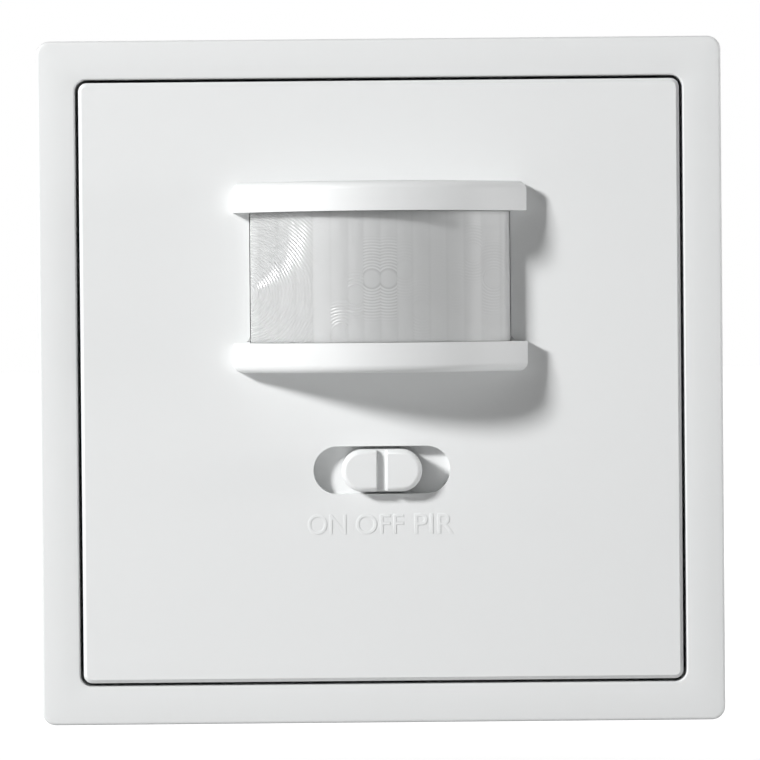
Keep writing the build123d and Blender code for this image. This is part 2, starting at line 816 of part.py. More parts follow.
# Trimmers: a square body and an adjuster that turns in it, whose dial stands in the carrier's hole
trimmer_out = sensor_board_out + trimmer_depth
shank_foot = trimmer_out - shank_reach
dial_out = carrier_out + dial_proud
for name, spot in trimmer_spots:
    with BuildPart() as trimmer_body:
        with BuildSketch(layer(sensor_board_out)):
            with Locations((spot, trimmer_level)):
                Rectangle(trimmer_width, trimmer_width)
        extrude(amount=trimmer_depth)
        with BuildSketch(layer(shank_foot - slide_gap)):
            with Locations((spot, trimmer_level)):
                Circle(shank_radius + running_gap)
        extrude(amount=shank_reach + slide_gap, mode=Mode.SUBTRACT)
    keep(trimmer_body, f"{name}_trimmer_body")

    with BuildPart() as adjuster:
        with BuildSketch(layer(shank_foot)):
            with Locations((spot, trimmer_level)):
                Circle(shank_radius)
        extrude(amount=dial_out - dial_height - shank_foot)
        with BuildSketch(layer(dial_out - dial_height)):
            with Locations((spot, trimmer_level)):
                Circle(dial_radius)
        extrude(amount=dial_height)
        with BuildSketch(layer(dial_out - dial_slot)):
            with Locations((spot, trimmer_level)):
                Rectangle(2 * dial_radius, dial_slot)
        extrude(amount=dial_slot, mode=Mode.SUBTRACT)
    keep(adjuster, f"{name}_adjuster")

with BuildPart() as trimmer_pins:
    leads(trimmer_leads, sensor_board_back - lead_tail, sensor_board_out)
keep(trimmer_pins, "trimmer_pins")

# Control chip with its legs, on the front of the sensor board
with BuildPart() as control_chip:
    with BuildSketch(layer(sensor_board_out + slide_gap)):
        with Locations((0, chip_level)):
            Rectangle(chip_length, chip_width)
    extrude(amount=chip_height)
keep(control_chip, "control_chip")

leg_count = int(chip_length / chip_leg_pitch) + 1
leg_skin = chip_leg_width / 2
with BuildPart() as chip_legs:
    for side in (-1, 1):
        with BuildSketch(layer(sensor_board_out)):
            with Locations((0, chip_level + side * (chip_width / 2 + chip_leg_reach / 2))):
                with GridLocations(chip_leg_pitch, 0, leg_count, 1):
                    Rectangle(chip_leg_width, chip_leg_reach)
        extrude(amount=leg_skin)
        with BuildSketch(layer(sensor_board_out + leg_skin)):
            with Locations((0, chip_level + side * (chip_width / 2 + leg_skin / 2))):
                with GridLocations(chip_leg_pitch, 0, leg_count, 1):
                    Rectangle(chip_leg_width, leg_skin)
        extrude(amount=leg_skin)
keep(chip_legs, "chip_legs")

# Two small box capacitors on the front of the sensor board
with BuildPart() as sensor_capacitors:
    with BuildSketch(layer(sensor_board_out)):
        with Locations((-cap_x, cap_level), (cap_x, cap_level)):
            Rectangle(cap_length, cap_width)
    extrude(amount=cap_height)
keep(sensor_capacitors, "sensor_capacitors")

with BuildPart() as light_sensor_leads:
    leads(eye_leads, sensor_board_back - lead_tail, sensor_board_out)
keep(light_sensor_leads, "light_sensor_leads")

# Plug between the boards: a socket behind the sensor board, a header on the power board, its pins
header_width = header_pins_count * header_pitch
pin_end = sensor_board_back - socket_depth / 2
with BuildPart() as board_socket:
    with BuildSketch(layer(sensor_board_back - socket_depth)):
        with Locations((0, header_level)):
            Rectangle(header_width, header_height)
    extrude(amount=socket_depth)
    with BuildSketch(layer(sensor_board_back - socket_depth)):
        with Locations(*header_spots):
            Rectangle(header_pin + 2 * slide_gap, header_pin + 2 * slide_gap)
    extrude(amount=socket_depth, mode=Mode.SUBTRACT)
keep(board_socket, "board_socket")

with BuildPart() as socket_pins:
    leads(header_spots, pin_end + seat_gap, sensor_board_out + lead_tail, header_pin)
keep(socket_pins, "socket_pins")

with BuildPart() as header_base:
    with BuildSketch(layer(power_board_out)):
        with Locations((0, header_level)):
            Rectangle(header_width, header_height)
        with Locations(*header_spots):
            Rectangle(header_pin + 2 * running_gap, header_pin + 2 * running_gap, mode=Mode.SUBTRACT)
    extrude(amount=header_depth)
keep(header_base, "header_base")

with BuildPart() as header_pins:
    leads(header_spots, power_board_back - lead_tail, pin_end, header_pin)
keep(header_pins, "header_pins")

# Power board: the same outline, on its own two ledges, notched round the sensor board's
with BuildPart() as power_board:
    with BuildSketch(layer(power_board_back)):
        add(board_outline)
        with Locations(*contact_spots):
            Rectangle(
                contact_width + 2 * lead_gap,
                contact_bar + 2 * lead_gap,
                mode=Mode.SUBTRACT,
            )
        with Locations((ledge_x, sensor_ledge_level), (-ledge_x, -sensor_ledge_level)):
            Rectangle(
                2 * (board_ledge + opening_gap),
                board_ledge_width + 2 * opening_gap,
                mode=Mode.SUBTRACT,
            )
    extrude(amount=power_board_skin)
    lead_holes(relay_leads + film_leads + tank_leads, power_board_back, power_board_skin)
    lead_holes(surge_leads + fuse_leads, power_board_back, power_board_skin)
    lead_holes(header_spots, power_board_back, power_board_skin, header_pin)
keep(power_board, "power_board")

# Relay, a sealed unit, and its pins
with BuildPart() as relay:
    with BuildSketch(layer(power_board_back - tall_height)):
        with Locations((relay_x, relay_level)):
            Rectangle(relay_length, relay_width)
    extrude(amount=tall_height)
    chamfer(relay.edges().group_by(Axis.Y)[-1], relay_edge)
keep(relay, "relay")

with BuildPart() as relay_pins:
    leads(relay_leads, power_board_back, power_board_out + lead_tail)
keep(relay_pins, "relay_pins")

# Mains capacitor, a box
with BuildPart() as mains_capacitor:
    with BuildSketch(layer(power_board_back - tall_height)):
        with Locations((film_x, film_level)):
            Rectangle(film_length, film_width)
    extrude(amount=tall_height)
keep(mains_capacitor, "mains_capacitor")

# Smoothing capacitor, a can
with BuildPart() as smoothing_capacitor:
    with BuildSketch(layer(power_board_back - tall_height)):
        with Locations((tank_x, tank_level)):
            Circle(tank_radius)
    extrude(amount=tall_height)
keep(smoothing_capacitor, "smoothing_capacitor")

# Surge absorber, a disc on edge
surge_middle = power_board_back - surge_clear - surge_radius
with BuildPart() as surge_absorber:
    with BuildSketch(Plane.YZ.offset(surge_x - surge_skin / 2)):
        with Locations((-surge_middle, surge_level)):
            Circle(surge_radius)
    extrude(amount=surge_skin)
keep(surge_absorber, "surge_absorber")

# Wires of the mains capacitor, the smoothing capacitor and the surge absorber
surge_edge = (surge_lead_spacing - lead_width) / 2
surge_foot = surge_middle + (surge_radius**2 - surge_edge**2) ** (1 / 2)
with BuildPart() as power_board_leads:
    leads(film_leads + tank_leads, power_board_back, power_board_out + lead_tail)
    leads(surge_leads, surge_foot + seat_gap, power_board_out + lead_tail)
keep(power_board_leads, "power_board_leads")

# Fuse resistor, lying along the board, and its bent leads
fuse_middle = power_board_back - fuse_clear - fuse_radius
with BuildPart() as fuse_resistor:
    with BuildSketch(Plane.YZ.offset(fuse_x - fuse_length / 2)):
        with Locations((-fuse_middle, fuse_level)):
            Circle(fuse_radius)
    extrude(amount=fuse_length)
keep(fuse_resistor, "fuse_resistor")

with BuildPart() as fuse_wires:
    leads(fuse_leads, fuse_middle - lead_width / 2, power_board_out + lead_tail)
    fuse_lead_reach = (fuse_lead_spacing - fuse_length) / 2
    with BuildSketch(layer(fuse_middle - lead_width / 2)):
        with Locations((fuse_x, fuse_level)):
            with GridLocations(fuse_length + fuse_lead_reach, 0, 2, 1):
                Rectangle(fuse_lead_reach, lead_width)
    extrude(amount=lead_width)
keep(fuse_wires, "fuse_leads")

# Bridge rectifier on the front of the power board, and its legs
with BuildPart() as bridge_rectifier:
    with BuildSketch(layer(power_board_out + slide_gap)):
        with Locations((bridge_x, bridge_level)):
            Rectangle(bridge_length, bridge_width - lead_width)
    extrude(amount=bridge_height)
keep(bridge_rectifier, "bridge_rectifier")

with BuildPart() as bridge_legs:
    leads(bridge_leads, power_board_out, power_board_out + bridge_height / 2)
keep(bridge_legs, "bridge_legs")

# Terminal block, flush with the module's back: for each conductor a wire entry, a contact bar that runs
# on into the power board, and a leaf spring whose tongue pinches the wire against the bar
with BuildPart() as terminal_block:
    with BuildSketch(layer(block_back)):
        with Locations((0, block_foot + block_height / 2)):
            Rectangle(block_width, block_height)
    extrude(amount=block_depth)
    with BuildSketch(layer(pocket_out)):
        with Locations((0, (pocket_floor + pocket_roof) / 2)):
            with GridLocations(terminal_pitch, 0, terminal_count, 1):
                Rectangle(contact_width + 2 * seat_gap, pocket_roof - pocket_floor)
    extrude(amount=block_depth - wire_way, mode=Mode.SUBTRACT)
    with BuildSketch(layer(block_back)):
        with Locations((0, wire_level)):
            with GridLocations(terminal_pitch, 0, terminal_count, 1):
                Circle(wire_radius)
    extrude(amount=wire_way, mode=Mode.SUBTRACT)
keep(terminal_block, "terminal_block")

with BuildPart() as terminal_contacts:
    with BuildSketch(layer(pocket_out)):
        with Locations(*contact_spots):
            Rectangle(contact_width, contact_bar)
    extrude(amount=power_board_out + lead_tail - pocket_out)
keep(terminal_contacts, "terminal_contacts")

tongue_out = pocket_front - (pocket_front - pocket_out) * tongue_share
tongue_run = 2 * spring_skin
with BuildPart() as terminal_springs:
    for x, z in contact_spots:
        with BuildSketch(Plane.YZ.offset(x - contact_width / 2)):
            with BuildLine():
                Polyline(
                    (-pocket_front + seat_gap, pocket_floor),
                    (-pocket_out, pocket_floor),
                    (-tongue_out, bar_level - slide_gap),
                    (-tongue_out - tongue_run, bar_level - slide_gap),
                    (-pocket_out - tongue_run, pocket_floor + spring_skin),
                    (-pocket_front + seat_gap, pocket_floor + spring_skin),
                    close=True,
                )
            make_face()
        extrude(amount=contact_width)
keep(terminal_springs, "terminal_springs")

# Claws and what works them, one set at each side; the left set is the right one turned half round
nut_out = pivot_out - arm_reach * sin(radians(arm_angle)) - nose_radius - running_gap
arm_length = (leg_x - pivot_x) / cos(radians(arm_angle))
slot_reach = arm_reach / cos(radians(arm_angle))
leg_start = -pivot_out + arm_length * sin(radians(arm_angle))
leg_end = leg_start + claw_length
for name, side in claw_sides:
    level = -side * claw_level
    arm_plane = Plane(
        (side * pivot_x, -pivot_out, level),
        x_dir=(side * cos(radians(arm_angle)), sin(radians(arm_angle)), 0),
        z_dir=(side * sin(radians(arm_angle)), -cos(radians(arm_angle)), 0),
    )

    # Claw: a knuckle on the pin, an arm outwards with a nose that the nut presses on and a slot round
    # the screw, and a barbed leg back into the box
    with BuildPart() as claw:
        with BuildSketch(Plane.XY.offset(level - claw_width / 2)):
            with Locations((side * pivot_x, -pivot_out)):
                Circle(knuckle_radius)
                with Locations(Rotation(0, 0, side * arm_angle)):
                    with Locations((side * arm_length / 2, 0)):
                        Rectangle(arm_length, claw_skin)
                    with Locations((side * arm_reach, 0)):
                        Circle(nose_radius)
            with Locations((side * leg_x, (leg_start + leg_end - claw_skin / 2) / 2)):
                Rectangle(claw_skin, claw_length + claw_skin / 2)
            barb_x = side * (leg_x + claw_skin / 2)
            with BuildLine():
                Polyline(
                    (barb_x, leg_end - barb_length),
                    (barb_x + side * barb_reach, leg_end),
                    (barb_x, leg_end),
                    close=True,
                )
            make_face()
            with Locations((side * pivot_x, -pivot_out)):
                Circle(pin_radius + running_gap, mode=Mode.SUBTRACT)
        extrude(amount=claw_width)
        with BuildSketch(arm_plane):
            with Locations((slot_reach, 0)):
                Rectangle(2 * slot_half_length, 2 * (claw_screw_radius + fork_gap))
        extrude(amount=2 * nose_radius, both=True, mode=Mode.SUBTRACT)
    keep(claw, f"claw_{name}")

    with BuildPart() as claw_pin:
        with BuildSketch(Plane.XY.offset(level - claw_pin_length / 2)):
            with Locations((side * pivot_x, -pivot_out)):
                Circle(pin_radius)
        extrude(amount=claw_pin_length)
    keep(claw_pin, f"claw_pin_{name}")

    with BuildPart() as claw_screw:
        with BuildSketch(layer(-claw_screw_reach)):
            with Locations((side * claw_screw_x, level)):
                Circle(claw_screw_radius)
        extrude(amount=claw_screw_reach + ring_skin + running_gap)
        with BuildSketch(layer(ring_skin + running_gap)):
            with Locations((side * claw_screw_x, level)):
                Circle(claw_head_radius)
        extrude(amount=claw_head_height)
    keep(claw_screw, f"claw_screw_{name}")

    with BuildPart() as claw_nut:
        with BuildSketch(layer(nut_out - nut_height)):
            with Locations((side * claw_screw_x, level)):
                Rectangle(nut_width, nut_width)
                Circle(claw_screw_radius + running_gap, mode=Mode.SUBTRACT)
        extrude(amount=nut_height)
    keep(claw_nut, f"claw_nut_{name}")
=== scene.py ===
import json
import math

import bmesh
import bpy
import numpy as np
from mathutils import Matrix, Vector

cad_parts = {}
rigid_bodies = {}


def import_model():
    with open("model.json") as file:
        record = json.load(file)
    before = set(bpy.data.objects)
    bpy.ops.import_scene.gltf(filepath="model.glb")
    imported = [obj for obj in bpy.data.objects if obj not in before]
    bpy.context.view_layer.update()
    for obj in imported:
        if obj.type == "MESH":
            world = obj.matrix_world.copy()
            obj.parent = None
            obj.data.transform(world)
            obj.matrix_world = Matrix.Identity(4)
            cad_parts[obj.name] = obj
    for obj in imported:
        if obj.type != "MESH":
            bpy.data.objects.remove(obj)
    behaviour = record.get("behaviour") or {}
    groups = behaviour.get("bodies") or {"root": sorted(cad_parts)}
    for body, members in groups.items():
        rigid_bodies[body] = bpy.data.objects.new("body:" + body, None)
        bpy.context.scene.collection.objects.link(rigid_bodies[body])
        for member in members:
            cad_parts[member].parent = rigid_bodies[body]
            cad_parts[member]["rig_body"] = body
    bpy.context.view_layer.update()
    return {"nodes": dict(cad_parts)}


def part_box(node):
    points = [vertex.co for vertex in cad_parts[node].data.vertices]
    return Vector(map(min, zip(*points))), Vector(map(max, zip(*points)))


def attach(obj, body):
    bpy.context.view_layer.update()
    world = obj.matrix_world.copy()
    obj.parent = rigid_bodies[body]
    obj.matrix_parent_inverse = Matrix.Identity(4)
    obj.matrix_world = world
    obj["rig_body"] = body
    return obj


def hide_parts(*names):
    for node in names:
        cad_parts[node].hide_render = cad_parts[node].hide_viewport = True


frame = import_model()
nodes = frame["nodes"]
mm = 0.001

# Camera: a long lens straight in front of the switch and a little above its middle, with the small
# roll that the photograph has. The picture's width is taken at the face of the centre plate.
scene = bpy.context.scene
scene.view_settings.view_transform = "Standard"
picture_width = 88.83 * mm
camera_distance = 546 * mm
camera_rise = 8.9 * mm
camera_roll = math.radians(-0.52)
film_width = 36
nearest_seen = 0.01
plate_front = 10 * mm
aim = Vector((-0.12 * mm, -plate_front, 0.12 * mm))
camera_data = bpy.data.cameras.new("camera")
camera_data.sensor_width = film_width
camera_data.lens = film_width * camera_distance / picture_width
camera_data.clip_start = nearest_seen
camera = bpy.data.objects.new("camera", camera_data)
camera.location = aim + Vector((0, -camera_distance, camera_rise))
look = (aim - camera.location).to_track_quat("-Z", "Y")
camera.rotation_euler = (look.to_matrix() @ Matrix.Rotation(camera_roll, 3, "Z")).to_euler()
scene.collection.objects.link(camera)
scene.camera = camera

# Light: a soft lamp high on the left in front throws the head's shadow to the lower right, and a wider one
# level on the right brightens what is turned to it. The room hardly lights, but it is seen as white.
lamp_distance = 1.3
soft_lamp_from = (-1.163, -1.0, 0.65)
soft_lamp_size = 0.2
soft_lamp_power = 18.6
side_lamp_from = (1.0, -0.018, 0.0)
side_lamp_size = 0.6
side_lamp_power = 15.0
room_light = 0.002
room_white = 1.0


def disc_lamp(name, direction, size, power):
    """Round lamp that shines on the switch from a direction."""
    data = bpy.data.lights.new(name, "AREA")
    data.shape = "DISK"
    data.size = size
    data.energy = power
    lamp = bpy.data.objects.new(name, data)
    away = Vector(direction).normalized()
    lamp.location = away * lamp_distance
    lamp.rotation_euler = (-away).to_track_quat("-Z", "Y").to_euler()
    scene.collection.objects.link(lamp)


def feed(tree, value, socket):
    """Link an output to a socket, or give the socket a plain value."""
    if isinstance(value, bpy.types.NodeSocket):
        tree.links.new(value, socket)
    else:
        socket.default_value = value


def calculation(tree, operation, *values):
    """Output of a math node that works on outputs or plain numbers."""
    node = tree.nodes.new("ShaderNodeMath")
    node.operation = operation
    for place, value in enumerate(values):
        feed(tree, value, node.inputs[place])
    return node.outputs[0]


def room_glow(tree, strength):
    """Output of an even white background of a strength."""
    glow = tree.nodes.new("ShaderNodeBackground")
    feed(tree, (1, 1, 1, 1), glow.inputs["Color"])
    feed(tree, strength, glow.inputs["Strength"])
    return glow.outputs[0]


disc_lamp("soft_lamp", soft_lamp_from, soft_lamp_size, soft_lamp_power)
disc_lamp("side_lamp", side_lamp_from, side_lamp_size, side_lamp_power)
world = bpy.data.worlds.new("pale_room")
scene.world = world
world.use_nodes = True
room = world.node_tree
room.nodes.clear()
rays = room.nodes.new("ShaderNodeLightPath").outputs
looking = calculation(room, "MAXIMUM", rays["Is Camera Ray"], rays["Is Transmission Ray"])
looking = calculation(room, "MAXIMUM", looking, rays["Is Glossy Ray"])
room_mix = room.nodes.new("ShaderNodeMixShader")
feed(room, looking, room_mix.inputs["Fac"])
feed(room, room_glow(room, room_light), room_mix.inputs[1])
feed(room, room_glow(room, room_white), room_mix.inputs[2])
feed(room, room_mix.outputs[0], room.nodes.new("ShaderNodeOutputWorld").inputs["Surface"])

# Floor: a wide sheet of pale paper below the switch. What is seen of it is lifted towards white, more so
# further out, and it keeps the soft shadow.
floor_level = -56 * mm
floor_half = 4.0
paper_grey = 0.66
paper_roughness = 0.9
lift_starts = 0.10
lift_ends = 0.24
least_lift = 0.55


def ranged(tree, value, start, stop, low, high, clamp=True):
    """Output of a map range node: a value from start to stop becomes one from low to high."""
    node = tree.nodes.new("ShaderNodeMapRange")
    node.clamp = clamp
    names = ("Value", "From Min", "From Max", "To Min", "To Max")
    for name, given in zip(names, (value, start, stop, low, high)):
        feed(tree, given, node.inputs[name])
    return node.outputs["Result"]


def length_of(tree, vector):
    """Output with the length of a vector."""
    node = tree.nodes.new("ShaderNodeVectorMath")
    node.operation = "LENGTH"
    feed(tree, vector, node.inputs[0])
    return node.outputs["Value"]


def object_place(tree):
    """Output with the place of a point in its piece's own frame, in metres."""
    return tree.nodes.new("ShaderNodeTexCoord").outputs["Object"]


def new_material(name):
    """Material with its node tree and the sockets of its shader."""
    material = bpy.data.materials.new(name)
    material.use_nodes = True
    return material, material.node_tree, material.node_tree.nodes["Principled BSDF"].inputs


floor_mesh = bpy.data.meshes.new("floor")
corner_signs = ((-1, -1), (1, -1), (1, 1), (-1, 1))
floor_corners = [(x * floor_half, y * floor_half, floor_level) for x, y in corner_signs]
floor_mesh.from_pydata(floor_corners, [], [(0, 1, 2, 3)])
floor = bpy.data.objects.new("floor", floor_mesh)
scene.collection.objects.link(floor)
floor_paper, tree, paper = new_material("floor_paper")
feed(tree, (paper_grey, paper_grey, paper_grey, 1), paper["Base Color"])
feed(tree, paper_roughness, paper["Roughness"])
feed(tree, (1, 1, 1, 1), paper["Emission Color"])
lift = ranged(tree, length_of(tree, object_place(tree)), lift_starts, lift_ends, least_lift, 1.0)
rays = tree.nodes.new("ShaderNodeLightPath").outputs
looking = calculation(tree, "MAXIMUM", rays["Is Camera Ray"], rays["Is Glossy Ray"])
feed(tree, calculation(tree, "MULTIPLY", looking, lift), paper["Emission Strength"])
floor_mesh.materials.append(floor_paper)

# Cover frame: the square surround, injection moulded in white plastic with a satin face, with an outer
# skirt down to the wall. The centre plate presses its inner ledge on the support ring.
frame_low, frame_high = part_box("cover_frame")
frame_half = frame_high.x / mm
cover_out = -frame_low.y / mm
opening_half = 35.5
face_skin = 2.0
skirt_skin = 1.6
lip_skin = 1.2
ledge_reach = 2.5
ledge_back = 1.2
ledge_front = 2.4
face_back = cover_out - face_skin
skirt_half = frame_half - skirt_skin
lip_half = opening_half + lip_skin
ledge_half = opening_half - ledge_reach
foot_round = 0.15
rim_round = 0.4
opening_round = 0.22
hollow_round = 0.2
inner_round = 0.1
outer_corner = 1.6
opening_corner = 1.4
hollow_corner = 0.3
grain_relief = 0.02 * mm
broad_patches = 45
grain_detail = 3
polish_spread = 0.08
tone_spread = 0.02
noise_middle = 0.5


def noise(tree, place, scale, detail=2):
    """Output of soft noise with so many patches to the metre."""
    node = tree.nodes.new("ShaderNodeTexNoise")
    feed(tree, place, node.inputs["Vector"])
    feed(tree, scale, node.inputs["Scale"])
    feed(tree, detail, node.inputs["Detail"])
    return node.outputs["Fac"]


def scaled_colour(tree, colour, share):
    """Output with a colour times a number."""
    node = tree.nodes.new("ShaderNodeVectorMath")
    node.operation = "SCALE"
    feed(tree, colour, node.inputs[0])
    feed(tree, share, node.inputs["Scale"])
    return node.outputs["Vector"]


def bumped(tree, height, strength, distance):
    """Normal output of a bump of a height, which at its full strength stands a distance proud."""
    node = tree.nodes.new("ShaderNodeBump")
    feed(tree, strength, node.inputs["Strength"])
    feed(tree, distance, node.inputs["Distance"])
    feed(tree, height, node.inputs["Height"])
    return node.outputs["Normal"]


def surface_group(name, settings):
    """Node group with a colour and number settings going in, and colour, roughness and normal coming out."""
    group = bpy.data.node_groups.new(name, "ShaderNodeTree")
    sockets = group.interface
    sockets.new_socket("Colour", in_out="INPUT", socket_type="NodeSocketColor")
    for setting in settings:
        sockets.new_socket(setting, in_out="INPUT", socket_type="NodeSocketFloat")
    sockets.new_socket("Colour", in_out="OUTPUT", socket_type="NodeSocketColor")
    sockets.new_socket("Roughness", in_out="OUTPUT", socket_type="NodeSocketFloat")
    sockets.new_socket("Normal", in_out="OUTPUT", socket_type="NodeSocketVector")
    return group, group.nodes.new("NodeGroupInput").outputs, group.nodes.new("NodeGroupOutput").inputs


def moulded_grain():
    """Node group of a moulded surface: broad soft unevenness of tone, and a fine bump from the mould."""
    group, given, result = surface_group("moulded_grain", ("Grain per metre", "Relief", "Polish"))
    place = object_place(group)
    fine = noise(group, place, given["Grain per metre"], grain_detail)
    uneven = calculation(group, "SUBTRACT", noise(group, place, broad_patches), noise_middle)
    tone = calculation(group, "MULTIPLY_ADD", uneven, tone_spread, 1.0)
    feed(group, scaled_colour(group, given["Colour"], tone), result["Colour"])
    polish = calculation(group, "MULTIPLY_ADD", fine, polish_spread, given["Polish"])
    feed(group, polish, result["Roughness"])
    feed(group, bumped(group, fine, given["Relief"], grain_relief), result["Normal"])
    return group


def grouped_material(name, group, settings):
    """Material whose colour, roughness and normal come from a node group with its settings."""
    material, tree, shader = new_material(name)
    surface = tree.nodes.new("ShaderNodeGroup")
    surface.node_tree = group
    for setting, value in settings.items():
        feed(tree, value, surface.inputs[setting])
    for outcome, socket in (("Colour", "Base Color"), ("Roughness", "Roughness"), ("Normal", "Normal")):
        feed(tree, surface.outputs[outcome], shader[socket])
    return material, shader


grain_group = moulded_grain()


def moulding(name, colour, polish, grain=9000, relief=0.1, specular=0.5):
    """Moulded plastic with the grain group: polish is its roughness, and grain is counted to the metre."""
    settings = {"Colour": (*colour, 1), "Grain per metre": grain, "Relief": relief, "Polish": polish}
    material, shader = grouped_material(name, grain_group, settings)
    shader["Specular IOR Level"].default_value = specular
    return material


def new_piece(name, points, faces, material, body, soft_angle=35):
    """Mesh piece in the switch's own frame, smooth up to an angle, that moves with a body."""
    mesh = bpy.data.meshes.new(name)
    mesh.from_pydata(points.tolist(), [], faces)
    mesh.validate()
    mesh.shade_smooth()
    mesh.set_sharp_from_angle(angle=math.radians(soft_angle))
    mesh.materials.append(material)
    piece = bpy.data.objects.new(name, mesh)
    scene.collection.objects.link(piece)
    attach(piece, body)
    return piece


def grid_faces(rows, columns, closed_rows=False, closed_columns=False):
    """Quads of a grid of points, wrapped round where it is closed."""
    row_count = rows if closed_rows else rows - 1
    column_count = columns if closed_columns else columns - 1
    row, column = np.meshgrid(np.arange(row_count), np.arange(column_count), indexing="ij")
    next_row, next_column = (row + 1) % rows, (column + 1) % columns
    quads = np.stack(
        [row * columns + column, next_row * columns + column,
         next_row * columns + next_column, row * columns + next_column], axis=-1,
    )
    return quads.reshape(-1, 4).tolist()


def turned_over(faces):
    """The same faces seen from their other side."""
    return [face[::-1] for face in faces]


def rounded_profile(corners, steps):
    """Closed section from corners (across, out, radius). Between the points A and B at the radius from a
    corner, the section is (1 - t)^2 A + 2 t (1 - t) C + t^2 B, and C makes its middle that of an arc."""
    arc_middle = 0.586
    spots = np.array([corner[:2] for corner in corners], float)
    radii = [corner[2] for corner in corners]
    share = np.linspace(0, 1, steps + 1)[:, None]
    section = []
    for here, radius in enumerate(radii):
        before = spots[here - 1] - spots[here]
        after = spots[(here + 1) % len(spots)] - spots[here]
        start = spots[here] + before / np.linalg.norm(before) * radius
        stop = spots[here] + after / np.linalg.norm(after) * radius
        middle = spots[here] + ((start + stop) / 2 - spots[here]) * arc_middle
        bend = 2 * middle - (start + stop) / 2
        section.append((1 - share) ** 2 * start + 2 * share * (1 - share) * bend + share**2 * stop)
    return np.concatenate(section)


def square_band(section, corner_of, across, steps):
    """Section carried round a rounded square. A point of the section at half width u runs along the square
    of half width u, whose corners have the radius corner_of(u); the second half width is u plus across."""
    half, out = section[:, 0], section[:, 1]
    radius = corner_of(half)
    turn = np.linspace(0, math.pi / 2, steps + 1)
    rounds = []
    for quarter in range(4):
        angle = turn + quarter * math.pi / 2
        corner_angle = quarter * math.pi / 2 + math.pi / 4
        middle_x = np.sign(math.cos(corner_angle)) * (half - radius)
        middle_z = np.sign(math.sin(corner_angle)) * (half + across - radius)
        x = middle_x[:, None] + radius[:, None] * np.cos(angle)
        z = middle_z[:, None] + radius[:, None] * np.sin(angle)
        rounds.append(np.stack([x, np.broadcast_to(-out[:, None], x.shape), z], axis=-1))
    points = np.concatenate(rounds, axis=1)
    rows, columns = points.shape[:2]
    return points.reshape(-1, 3), turned_over(grid_faces(rows, columns, True, True))


def frame_corner(half):
    """Corner radius of the frame at a half width: full outside and at the opening, small in the hollow."""
    outer = np.clip(outer_corner - (frame_half - half), hollow_corner, None)
    opening = np.clip(opening_corner + (half - opening_half), hollow_corner, None)
    inner = np.where(half < (opening_half + lip_half) / 2, opening, hollow_corner)
    return np.where(half > frame_half - skirt_skin / 2, outer, inner)


cover_section = rounded_profile([
    (frame_half, 0.0, foot_round),
    (frame_half, cover_out, rim_round),
    (opening_half, cover_out, opening_round),
    (opening_half, ledge_front, inner_round),
    (ledge_half, ledge_front, inner_round),
    (ledge_half, ledge_back, inner_round),
    (lip_half, ledge_back, inner_round),
    (lip_half, face_back, hollow_round),
    (skirt_half, face_back, hollow_round),
    (skirt_half, 0.0, inner_round),
], steps=6)
cover_white = moulding("cover_white", (0.78, 0.79, 0.79), polish=0.48, relief=0.06, specular=0.3)
points, faces = square_band(cover_section, frame_corner, across=0.0, steps=8)
cover = new_piece("cover_frame_moulding", points * mm, faces, cover_white, "switch")
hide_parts("cover_frame")

# Centre plate: one white moulding with the two curved brows of the sensor head, the window between
# them and the recess of the slide knob. Four hooked clips behind it catch in the module's front carrier.
weld_distance = 0.001 * mm
flat_angle = 1
smooth_angle = 32
broken_angle = 30


def fair_copy(node, name, material, bevel=0.0):
    """A node's own mesh with its triangles joined, smooth over its round faces, with broken edges."""
    source = nodes[node]
    work = bmesh.new()
    work.from_mesh(source.data)
    bmesh.ops.remove_doubles(work, verts=work.verts, dist=weld_distance)
    if bevel:
        bmesh.ops.dissolve_limit(
            work, angle_limit=math.radians(flat_angle), verts=work.verts, edges=work.edges, delimit={"NORMAL"}
        )
    mesh = bpy.data.meshes.new(name)
    work.to_mesh(mesh)
    work.free()
    for attribute in [a.name for a in mesh.attributes if a.name in ("custom_normal", "sharp_face")]:
        mesh.attributes.remove(mesh.attributes[attribute])
    mesh.shade_smooth()
    mesh.set_sharp_from_angle(angle=math.radians(smooth_angle))
    mesh.materials.clear()
    mesh.materials.append(material)
    piece = bpy.data.objects.new(name, mesh)
    scene.collection.objects.link(piece)
    if bevel:
        edge = piece.modifiers.new("broken_edges", "BEVEL")
        edge.width = bevel * mm
        edge.segments = 2
        edge.limit_method = "ANGLE"
        edge.angle_limit = math.radians(broken_angle)
        edge.use_clamp_overlap = False
    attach(piece, source["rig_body"])
    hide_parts(node)


plate_white = moulding("plate_white", (0.79, 0.80, 0.80), polish=0.44, relief=0.08, specular=0.4)
fair_copy("centre_plate", "centre_plate_moulding", plate_white)

